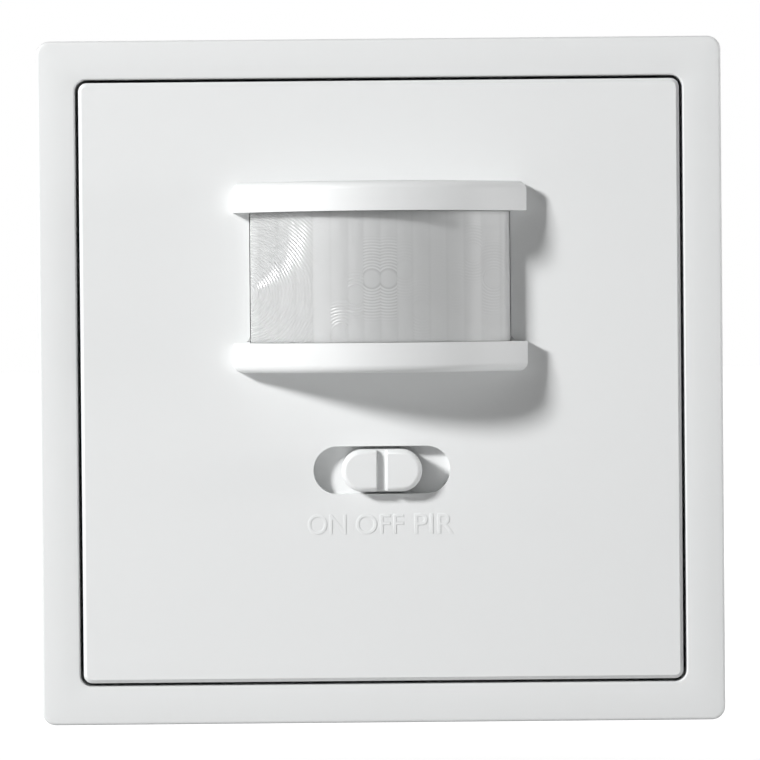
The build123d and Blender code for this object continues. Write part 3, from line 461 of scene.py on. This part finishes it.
# Position marks: ON, OFF and PIR in thin plain capitals under the recess. The mould of the centre plate
# gives them, raised a little from its face.
marks = (("ON", -8.70, -4.22), ("OFF", -3.08, 2.52), ("PIR", 3.76, 8.36))
mark_height = 2.35
mark_relief = 0.07
mark_sunk = 0.01
mark_baseline = -17.9
letter_size = 3.25
stroke_thinned = 0.012
letter_edge = 0.03
for word, left, right in marks:
    text = bpy.data.curves.new("mark_" + word, "FONT")
    text.body = word
    text.size = letter_size * mm
    text.extrude = mark_relief * mm / 2
    text.offset = -stroke_thinned * mm
    text.bevel_depth = letter_edge * mm
    text.bevel_resolution = 1
    sample = bpy.data.objects.new("mark_" + word, text)
    scene.collection.objects.link(sample)
    bpy.context.view_layer.update()
    letters = bpy.data.meshes.new_from_object(sample)
    bpy.data.objects.remove(sample)
    coordinates = np.empty(len(letters.vertices) * 3, np.float32)
    letters.vertices.foreach_get("co", coordinates)
    coordinates = coordinates.reshape(-1, 3)
    low, high = coordinates.min(0), coordinates.max(0)
    share = (coordinates - low) / (high - low)
    placed = np.stack([
        (left + (right - left) * share[:, 0]) * mm,
        -plate_front - (mark_relief * share[:, 2] - mark_sunk) * mm,
        (mark_baseline + mark_height * share[:, 1]) * mm,
    ], axis=-1)
    letters.vertices.foreach_set("co", placed.astype(np.float32).ravel())
    letters.materials.clear()
    letters.materials.append(plate_white)
    letters.update()
    mark = bpy.data.objects.new("position_mark_" + word, letters)
    scene.collection.objects.link(mark)
    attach(mark, "switch")

# Lens: a thin milky polyethylene skin bent round the sensor, moulded as upright strips that each bulge a
# little, with fine rings of a flat lens on every strip. A flange behind it lies under the plate.
lens_low, lens_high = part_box("pir_lens")
lens_reach = -lens_low.y / mm
head_middle = (lens_low.z + lens_high.z) / 2 / mm
lens_radius = 16.9
lens_centre_out = lens_reach - lens_radius
lens_foot_out = 8.2
lens_half = 15.15
lens_half_height = 7.57
lens_skin = 0.8
flank = math.radians(40.7)
corner_inset = 1.1
corner_fall = 1.3
strip_edges = (0.0, 1.93, 3.72, 5.72, 7.75, 9.80, 11.85)
strip_bulge = 0.03
strip_steps = 8
corner_steps = 8
side_steps = 4
level_count = 25
lid_steps = 3


def lens_plan(x):
    """Distance in front of the wall of the lens at x: an arc, then a flank that leaves it straight."""
    arc_end = lens_radius * math.sin(flank)
    arc = lens_centre_out + np.sqrt(np.clip(lens_radius**2 - x**2, 0, None))
    flank_out = lens_centre_out + lens_radius * math.cos(flank) - (np.abs(x) - arc_end) * math.tan(flank)
    return np.where(np.abs(x) < arc_end, arc, flank_out)


# The strips from left to right: each is lowest at its edges and bulges as 4 f (1 - f) along its width
last_edge = lens_half - corner_inset
edges = np.array([-last_edge] + [-e for e in strip_edges[:0:-1]] + list(strip_edges) + [last_edge])
last_strip = len(edges) - 2
along = np.concatenate([
    np.linspace(left, right, strip_steps + 1)[:-1] for left, right in zip(edges[:-1], edges[1:])
] + [edges[-1:]])
strip = np.append(np.repeat(np.arange(last_strip + 1), strip_steps), last_strip)
inside = (along - edges[strip]) / (edges[strip + 1] - edges[strip])
sunk = strip_bulge * (1 - 4 * inside * (1 - inside))
slope = np.clip(np.arcsin(np.clip(along / lens_radius, -1, 1)), -flank, flank)
skin_x = along - sunk * np.sin(slope)
skin_out = lens_plan(along) - sunk * np.cos(slope)

# The corner beyond the last strip, a curve (1 - t)^2 A + 2 t (1 - t) C + t^2 B, and the straight side
turn = np.linspace(0, 1, corner_steps + 1)[1:]
corner_start, corner_tip = lens_plan(np.array([last_edge, lens_half]))
corner_x = (1 - turn) ** 2 * last_edge + (1 - (1 - turn) ** 2) * lens_half
corner_out = (
    (1 - turn) ** 2 * corner_start + 2 * turn * (1 - turn) * corner_tip + turn**2 * (corner_tip - corner_fall)
)
side_out = np.linspace(corner_out[-1], lens_foot_out, side_steps + 1)[1:]
end_x = np.concatenate([corner_x, np.full(side_steps, lens_half)])
end_out = np.concatenate([corner_out, side_out])
end_count = len(end_x)
plan_x = np.concatenate([-end_x[::-1], skin_x, end_x])
plan_out = np.concatenate([end_out[::-1], skin_out, end_out])
plan_strip = np.concatenate([np.full(end_count, 0), strip, np.full(end_count, last_strip)])
plan_border = np.concatenate([np.zeros(end_count), (inside == 0) | (inside == 1), np.zeros(end_count)])


def lens_row(share, level):
    """The lens's plan at a level, with its reach in front of the foot times a share."""
    out = lens_foot_out + (plan_out - lens_foot_out) * share
    return np.stack([plan_x, -out, np.full(len(plan_x), level)], axis=-1)


lens_bottom, lens_top = head_middle - lens_half_height, head_middle + lens_half_height
lid = np.linspace(0, 1, lid_steps + 1)[:-1]
lens_points = np.stack(
    [lens_row(share, lens_bottom) for share in lid]
    + [lens_row(1, level) for level in np.linspace(lens_bottom, lens_top, level_count)]
    + [lens_row(share, lens_top) for share in lid[::-1]]
)
lens_faces = turned_over(grid_faces(*lens_points.shape[:2]))

# The rings of each strip, from left to right: the place of their middle from the head's middle, their
# depth, how strong their painted light and shade is, and how far out they go. The two middle strips look
# straight ahead, the others to the sides, high and low, and the worn mould gives some of them deeper rings.
strip_rings = np.array([
    (-15.9, -1.6, 1.5, 0.03, 13.0),
    (-15.9, -1.6, 1.2, 0.05, 13.0),
    (-15.9, -1.6, 0.9, 0.05, 13.0),
    (-6.7, 4.5, 0.1, 0.03, 4.0),
    (-4.5, -6.2, 0.5, 0.1, 4.2),
    (-2.9, -1.8, 0.45, 0.12, 3.0),
    (-0.96, 0, 0.3, 1.0, 5.2),
    (0.96, 0, 0.3, 1.0, 5.2),
    (2.8, 1.0, 0.15, 0.12, 4.0),
    (4.7, -3.6, 0.2, 0.08, 4.5),
    (6.7, 0.5, 0.12, 0.05, 4.0),
    (8.8, -1.0, 0.08, 0.03, 4.0),
    (10.8, 3.0, 0.15, 0.06, 4.0),
    (13.2, 0.0, 0.2, 0.06, 5.0),
])
ring_x, ring_z, ring_depth, ring_shade, ring_reach = strip_rings.T
rings_lowered = 0.25
ring_pitch = 0.34
first_ring = 1.05
first_ring_blend = 0.1
first_line_width = 0.16
# Painted shade along the groove of the first ring
first_ring_painted_shade = 1.2
rings_fade_from = 0.7
ring_relief = 0.02 * mm
# Painted shade in the creases where the strips meet
painted_border_darkness = 0.3
# Painted light and shade on the lens: its colour falls to this share where the painted shade is fullest, and
# rises as far above one where it is painted lighter
painted_line_darkest = 0.88
shallow_roughness = 0.5
deep_roughness = 0.17
milk_patches = 260
milk_colours = ((0.56, 0.568, 0.568, 1), (0.588, 0.596, 0.596, 1))
milk_share = 0.85
milk_depth = 3 * mm


def own_value(tree, name):
    """Output with a value that the piece's own faces or points hold."""
    node = tree.nodes.new("ShaderNodeAttribute")
    node.attribute_name = name
    return node.outputs["Fac"]


def mixed_colours(tree, share, colours):
    """Output with two colours mixed by a share."""
    node = tree.nodes.new("ShaderNodeMix")
    node.data_type = "RGBA"
    first_colour, second_colour, result = 6, 7, 2
    feed(tree, share, node.inputs[0])
    feed(tree, colours[0], node.inputs[first_colour])
    feed(tree, colours[1], node.inputs[second_colour])
    return node.outputs[result]


def milky_lens():
    """Milky polyethylene. The piece's own UV holds, for each strip, the place in millimetres from the
    middle of its rings. At a distance d from there the height is depth sin(2 pi (d - first) / pitch)
    outside the first ring, and it fades where the rings end."""
    material, tree, shader = new_material("milky_lens")
    feed(tree, milk_share, shader["Subsurface Weight"])
    feed(tree, (1, 1, 1), shader["Subsurface Radius"])
    feed(tree, milk_depth, shader["Subsurface Scale"])
    place = tree.nodes.new("ShaderNodeUVMap")
    place.uv_map = "rings"
    distance = length_of(tree, place.outputs["UV"])
    beyond = calculation(tree, "SUBTRACT", distance, first_ring)
    pitches = calculation(tree, "DIVIDE", beyond, ring_pitch)
    wave = calculation(tree, "SINE", calculation(tree, "MULTIPLY", pitches, 2 * math.pi))
    outside = ranged(tree, distance, first_ring - first_ring_blend, first_ring + first_ring_blend, 0, 1)
    ridge = calculation(tree, "MULTIPLY", wave, outside)
    reach = own_value(tree, "ring_reach")
    near = ranged(tree, distance, calculation(tree, "MULTIPLY", reach, rings_fade_from), reach, 1, 0)
    depth = own_value(tree, "ring_depth")
    height = calculation(tree, "MULTIPLY", ridge, calculation(tree, "MULTIPLY", depth, near))
    feed(tree, bumped(tree, height, 1.0, ring_relief), shader["Normal"])

    # The deeper the rings, the glossier the strip
    feed(tree, ranged(tree, depth, 0, 1, shallow_roughness, deep_roughness), shader["Roughness"])

    # Colour: a faint cloud in the milk, with painted light and shade in bands along the rings and painted
    # shade along the first ring and at the strips' borders
    milk = mixed_colours(tree, noise(tree, object_place(tree), milk_patches), milk_colours)
    # A painted dark line along the first ring's groove
    from_first = calculation(tree, "ABSOLUTE", beyond)
    first_line = ranged(tree, from_first, 0, first_line_width, first_ring_painted_shade, 0)
    lines = calculation(tree, "MULTIPLY", calculation(tree, "ADD", ridge, first_line), near)
    # Painted light and shade in bands along the rings, as the ring faces would catch the light, strongest on
    # the two middle strips
    lines = calculation(tree, "MULTIPLY", lines, own_value(tree, "ring_shade"))
    # Add the painted shade in the creases at the strips' borders
    dark = calculation(tree, "ADD", lines, own_value(tree, "strip_crease_shade"))
    painted_shade_scale = ranged(tree, dark, 0, 1, 1, painted_line_darkest, clamp=False)
    feed(tree, scaled_colour(tree, milk, painted_shade_scale), shader["Base Color"])
    return material


lens_material = milky_lens()
skin = new_piece(
    "pir_lens_skin", lens_points.reshape(-1, 3) * mm, lens_faces, lens_material, "switch",
    soft_angle=50,
)
corner_vertex = np.empty(len(skin.data.loops), np.int32)
skin.data.loops.foreach_get("vertex_index", corner_vertex)
face_strip = plan_strip[corner_vertex.reshape(-1, 4).min(axis=1) % len(plan_x)]
corner_strip = np.repeat(face_strip, 4)
corner_place = lens_points.reshape(-1, 3)[corner_vertex]
ring_uv = np.stack([
    corner_place[:, 0] - ring_x[corner_strip],
    corner_place[:, 2] - (head_middle - rings_lowered) - ring_z[corner_strip],
], axis=-1)
rings = skin.data.uv_layers.new(name="rings")
rings.data.foreach_set("uv", ring_uv.astype(np.float32).ravel())
for name, of_strip in (("ring_depth", ring_depth), ("ring_shade", ring_shade), ("ring_reach", ring_reach)):
    values = skin.data.attributes.new(name, "FLOAT", "FACE")
    values.data.foreach_set("value", of_strip[face_strip].astype(np.float32))
# The points on the strips' borders hold the painted crease shade for the lens colour
values = skin.data.attributes.new("strip_crease_shade", "FLOAT", "POINT")
values.data.foreach_set("value", np.tile(plan_border * painted_border_darkness, len(lens_points)).astype(np.float32))
wall = skin.modifiers.new("wall", "SOLIDIFY")
wall.thickness = lens_skin * mm
wall.offset = -1
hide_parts("pir_lens")

# The lens's flange, and the flat frame of white plastic behind it, which sits on the plate's two stakes
# and presses the flange home.
flange_reach = 1.5
flange_edge = 0.1
flange_corner = 0.3
flange_half = lens_half + flange_reach
flange_hole_half = lens_half - lens_skin
flange_back = lens_foot_out - lens_skin


def even_corner(half):
    """Corner radius of the flange, the same at each half width."""
    return np.full_like(half, flange_corner)


flange_section = rounded_profile([
    (flange_half, flange_back, flange_edge), (flange_half, lens_foot_out, flange_edge),
    (flange_hole_half, lens_foot_out, flange_edge), (flange_hole_half, flange_back, flange_edge),
], steps=2)
lens_across = (lens_high.z - lens_low.z) / 2 / mm - flange_half
points, faces = square_band(flange_section, even_corner, lens_across, steps=3)
points[:, 2] += head_middle
new_piece("pir_lens_flange", points * mm, faces, lens_material, "switch")
holder_white = moulding("holder_white", (0.74, 0.74, 0.73), polish=0.5, relief=0.3)
fair_copy("lens_holder", "lens_holder_frame", holder_white, bevel=0.12)

# Slide knob: a white moulded cap with a groove across its middle, which slides in the recess. Its stem
# snaps through the slot and takes the switch lever along.
fair_copy("slider_knob", "slider_knob_cap", plate_white, bevel=0.14)

# Support ring: pressed from zinc-plated steel sheet, with slots for the box screws and bent lugs that
# carry the claws. The claws are of the same sheet, and their pins and nuts are plated yellow.
streak_scale = (300, 5000, 5000)
sheet_patches = 420
sheet_detail = 4
sheet_tone_spread = 0.25
sheet_least_tone = 0.86
streak_spread = 0.2
streak_strength = 0.15
streak_relief = 0.02 * mm


def plated_sheet():
    """Node group of plated metal: a faint cloudy tone, and streaks along X that change polish and height."""
    group, given, result = surface_group("plated_sheet", ("Polish",))
    place = object_place(group)
    stretch = group.nodes.new("ShaderNodeMapping")
    feed(group, streak_scale, stretch.inputs["Scale"])
    feed(group, place, stretch.inputs["Vector"])
    streaks = noise(group, stretch.outputs["Vector"], 1)
    cloud = noise(group, place, sheet_patches, sheet_detail)
    tone = calculation(group, "MULTIPLY_ADD", cloud, sheet_tone_spread, sheet_least_tone)
    feed(group, scaled_colour(group, given["Colour"], tone), result["Colour"])
    polish = calculation(group, "MULTIPLY_ADD", streaks, streak_spread, given["Polish"])
    feed(group, polish, result["Roughness"])
    feed(group, bumped(group, streaks, streak_strength, streak_relief), result["Normal"])
    return group


sheet_group = plated_sheet()


def metal(name, colour, polish):
    """Plated or bare metal with the sheet group."""
    settings = {"Colour": (*colour, 1), "Polish": polish}
    material, shader = grouped_material(name, sheet_group, settings)
    shader["Metallic"].default_value = 1.0
    return material


zinc = metal("zinc_sheet", (0.62, 0.64, 0.66), polish=0.28)
yellow_zinc = metal("yellow_zinc", (0.72, 0.66, 0.46), polish=0.22)
fair_copy("support_ring", "support_ring_sheet", zinc, bevel=0.1)
for side in ("left", "right"):
    fair_copy("claw_" + side, "claw_" + side + "_sheet", zinc)
    fair_copy("claw_pin_" + side, "claw_pin_" + side + "_rod", yellow_zinc)
    fair_copy("claw_nut_" + side, "claw_nut_" + side + "_block", yellow_zinc, bevel=0.12)

# Claw screws: cold-headed steel with a rolled thread, zinc plated and passivated yellow. The head has a
# cross recess and stands in a notch of the carrier; the thread draws the claw's nut forward.
thread_radius = 1.5
thread_pitch = 0.5
thread_depth = 0.28
thread_gap = 0.1
rows_per_turn = 8
tip_edge = 0.05
head_radius = 2.7
head_round = 0.7
head_round_rows = 7
head_under = 1.05
recess_half_length = 1.35
recess_half_width = 0.4
recess_depth = 1.1
recess_floor_share = 0.75
recess_edge_share = 0.96
recess_edge_depth = 0.08
recess_steps = 4


def claw_screw_surface(middle_x, level, head_out, tip_out):
    """Surface round the screw's axis, in rows from the recess over the head, down the shank to the tip.
    The recess is the cross r = min(L / max(|cos|, |sin|), W / min(|cos|, |sin|)). Along the thread
    r = R - D |2 f - 1| with f the fraction of out / pitch - angle / (2 pi), which winds as a helix."""
    nearly_zero = 1e-9
    arm = math.atan(recess_half_width / recess_half_length)
    stops = (0, arm, math.pi / 4, math.pi / 2 - arm, math.pi / 2)
    quarter = np.concatenate([
        np.linspace(start, stop, recess_steps + 1)[:-1] for start, stop in zip(stops[:-1], stops[1:])
    ])
    angle = np.concatenate([quarter + turn * math.pi / 2 for turn in range(4)])
    cosine, sine = np.abs(np.cos(angle)), np.abs(np.sin(angle))
    cross = np.minimum(
        recess_half_length / np.maximum(cosine, sine),
        recess_half_width / np.maximum(np.minimum(cosine, sine), nearly_zero),
    )
    even = np.ones(len(angle))
    root_radius = thread_radius - thread_depth
    rows = [
        (cross * recess_floor_share, head_out - recess_depth),
        (cross * recess_edge_share, head_out - recess_edge_depth),
        (cross, head_out),
    ]
    for bend in np.linspace(0, math.pi / 2, head_round_rows):
        radius = head_radius - head_round + head_round * math.sin(bend)
        rows.append((even * radius, head_out - head_round * (1 - math.cos(bend))))
    rows += [(even * head_radius, head_under), (even * thread_radius, head_under)]
    for out in np.arange(head_under - thread_gap, tip_out, -thread_pitch / rows_per_turn):
        part = np.mod(out / thread_pitch - angle / (2 * math.pi), 1.0)
        radius = thread_radius - thread_depth * np.abs(2 * part - 1)
        rows.append((np.minimum(radius, root_radius + (out - tip_out)), out))
    rows.append((even * (root_radius - tip_edge), tip_out))
    radius = np.stack([row[0] for row in rows])
    out = np.repeat(np.array([row[1] for row in rows])[:, None], len(angle), axis=1)
    points = np.stack([middle_x + radius * np.cos(angle), -out, level + radius * np.sin(angle)], axis=-1)
    faces = grid_faces(len(rows), len(angle), closed_columns=True)
    last_row = (len(rows) - 1) * len(angle)
    faces.append(list(range(len(angle))))
    faces.append(list(range(last_row + len(angle) - 1, last_row - 1, -1)))
    return points.reshape(-1, 3), faces


for side in ("left", "right"):
    node = "claw_screw_" + side
    low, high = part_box(node)
    points, faces = claw_screw_surface(
        (low.x + high.x) / 2 / mm, (low.z + high.z) / 2 / mm, -low.y / mm, -high.y / mm
    )
    screw = new_piece(node + "_thread", points * mm, faces, yellow_zinc, node)
    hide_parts(node)

# Module case: front carrier and rear housing, moulded in pale grey flame-retardant plastic. The carrier's
# spigot goes through the ring, and the snaps on it hold the housing behind.
case_grey = moulding("case_grey", (0.60, 0.60, 0.585), polish=0.5, grain=5000, relief=0.35)
fair_copy("front_carrier", "front_carrier_case", case_grey)
fair_copy("rear_housing", "rear_housing_case", case_grey)

# Boards: glass-fibre laminate under green solder mask, with tracks that show as a lighter relief. Both lie
# on ledges in the rear housing, one behind the other, and a plug joins them.
mask_roughness = 0.3
mask_greens = ((0.02, 0.12, 0.045, 1), (0.03, 0.16, 0.06, 1))
track_green = (0.05, 0.24, 0.09, 1)
track_scale = 120
track_width = 0.06
track_strength = 0.4
track_relief = 0.04 * mm


def board_material():
    """Green solder mask: a grid of bricks in two greens stands for the tracks under the mask."""
    material, tree, shader = new_material("board_green")
    feed(tree, mask_roughness, shader["Roughness"])
    turn = tree.nodes.new("ShaderNodeMapping")
    feed(tree, (math.pi / 2, 0, 0), turn.inputs["Rotation"])
    feed(tree, object_place(tree), turn.inputs["Vector"])
    tracks = tree.nodes.new("ShaderNodeTexBrick")
    feed(tree, turn.outputs["Vector"], tracks.inputs["Vector"])
    feed(tree, track_scale, tracks.inputs["Scale"])
    feed(tree, track_width, tracks.inputs["Mortar Size"])
    feed(tree, mask_greens[0], tracks.inputs["Color1"])
    feed(tree, mask_greens[1], tracks.inputs["Color2"])
    feed(tree, track_green, tracks.inputs["Mortar"])
    feed(tree, tracks.outputs["Color"], shader["Base Color"])
    feed(tree, bumped(tree, tracks.outputs["Fac"], track_strength, track_relief), shader["Normal"])
    return material


board_green = board_material()
for node in ("sensor_board", "power_board"):
    fair_copy(node, node + "_laminate", board_green)

# Infrared sensor and light sensor: a nickel-plated can with a dark filter pane on its base, and a clear
# resin package beside it, both soldered to the sensor board.
nickel = metal("nickel_plate", (0.66, 0.64, 0.60), polish=0.2)
tinned = metal("tinned_wire", (0.70, 0.70, 0.70), polish=0.3)
dark_pane = moulding("dark_pane", (0.02, 0.012, 0.012), polish=0.08, relief=0.02)
clear_resin = moulding("clear_resin", (0.62, 0.66, 0.70), polish=0.1, relief=0.02)
fair_copy("sensor_can", "sensor_can_shell", nickel)
fair_copy("sensor_base", "sensor_base_disc", nickel)
fair_copy("sensor_pane", "sensor_pane_filter", dark_pane)
fair_copy("sensor_pins", "sensor_pins_wire", tinned)
fair_copy("light_sensor", "light_sensor_resin", clear_resin)
fair_copy("light_sensor_leads", "light_sensor_leads_wire", tinned)

# Slide switch: a black base and lever under a plated steel shell, soldered to the sensor board by its
# pins. A brass contact goes with the lever and bridges them.
black = moulding("black_moulding", (0.022, 0.022, 0.024), polish=0.45, relief=0.3)
brass = metal("bare_brass", (0.75, 0.60, 0.30), polish=0.25)
fair_copy("switch_base", "switch_base_block", black)
fair_copy("switch_shell", "switch_shell_sheet", nickel)
fair_copy("switch_lever", "switch_lever_moulding", black, bevel=0.08)
fair_copy("switch_contact", "switch_contact_strip", brass)
fair_copy("switch_pins", "switch_pins_wire", tinned)

# Trimmers: blue bodies on the sensor board with white slotted adjusters that stand in the carrier's
# holes, one for the time and one for the light level.
trimmer_blue = moulding("trimmer_blue", (0.02, 0.09, 0.42), polish=0.35)
dial_white = moulding("dial_white", (0.74, 0.74, 0.70), polish=0.4)
for name in ("time", "lux"):
    fair_copy(name + "_trimmer_body", name + "_trimmer_case", trimmer_blue, bevel=0.12)
    fair_copy(name + "_adjuster", name + "_adjuster_dial", dial_white)
fair_copy("trimmer_pins", "trimmer_pins_wire", tinned)

# Black mouldings of both boards on tinned legs: the chip, the two halves of the plug, the rectifier and
# the relay. The other bare leads and two yellow film capacitors go with them.
film_yellow = moulding("film_yellow", (0.62, 0.38, 0.04), polish=0.3)
for node in ("control_chip", "board_socket", "header_base", "bridge_rectifier", "relay"):
    fair_copy(node, node + "_case", black, bevel=0.1)
legs = ("chip_legs", "socket_pins", "header_pins", "bridge_legs", "relay_pins")
for node in (*legs, "power_board_leads", "fuse_leads"):
    fair_copy(node, node + "_metal", tinned)
fair_copy("sensor_capacitors", "sensor_capacitors_case", film_yellow, bevel=0.2)

# Parts of the power board: mains capacitor in a yellow case, smoothing capacitor in a dark sleeve, blue
# surge absorber and lacquered fuse resistor.
sleeve_blue = moulding("sleeve_blue", (0.02, 0.025, 0.12), polish=0.22)
dipped_blue = moulding("dipped_blue", (0.03, 0.12, 0.50), polish=0.3, relief=0.3)
lacquer = moulding("lacquer_green", (0.30, 0.38, 0.22), polish=0.35, relief=0.3)
fair_copy("mains_capacitor", "mains_capacitor_case", film_yellow, bevel=0.3)
fair_copy("smoothing_capacitor", "smoothing_capacitor_can", sleeve_blue, bevel=0.3)
fair_copy("surge_absorber", "surge_absorber_disc", dipped_blue, bevel=0.8)
fair_copy("fuse_resistor", "fuse_resistor_rod", lacquer, bevel=0.4)

# Terminal block: dark grey plastic flush with the module's back, with three round entries, a brass bar
# behind each and a plated steel leaf spring that pinches the wire.
block_grey = moulding("block_grey", (0.10, 0.11, 0.12), polish=0.5, relief=0.35)
fair_copy("terminal_block", "terminal_block_moulding", block_grey)
fair_copy("terminal_contacts", "terminal_contacts_bar", brass)
fair_copy("terminal_springs", "terminal_springs_leaf", tinned)
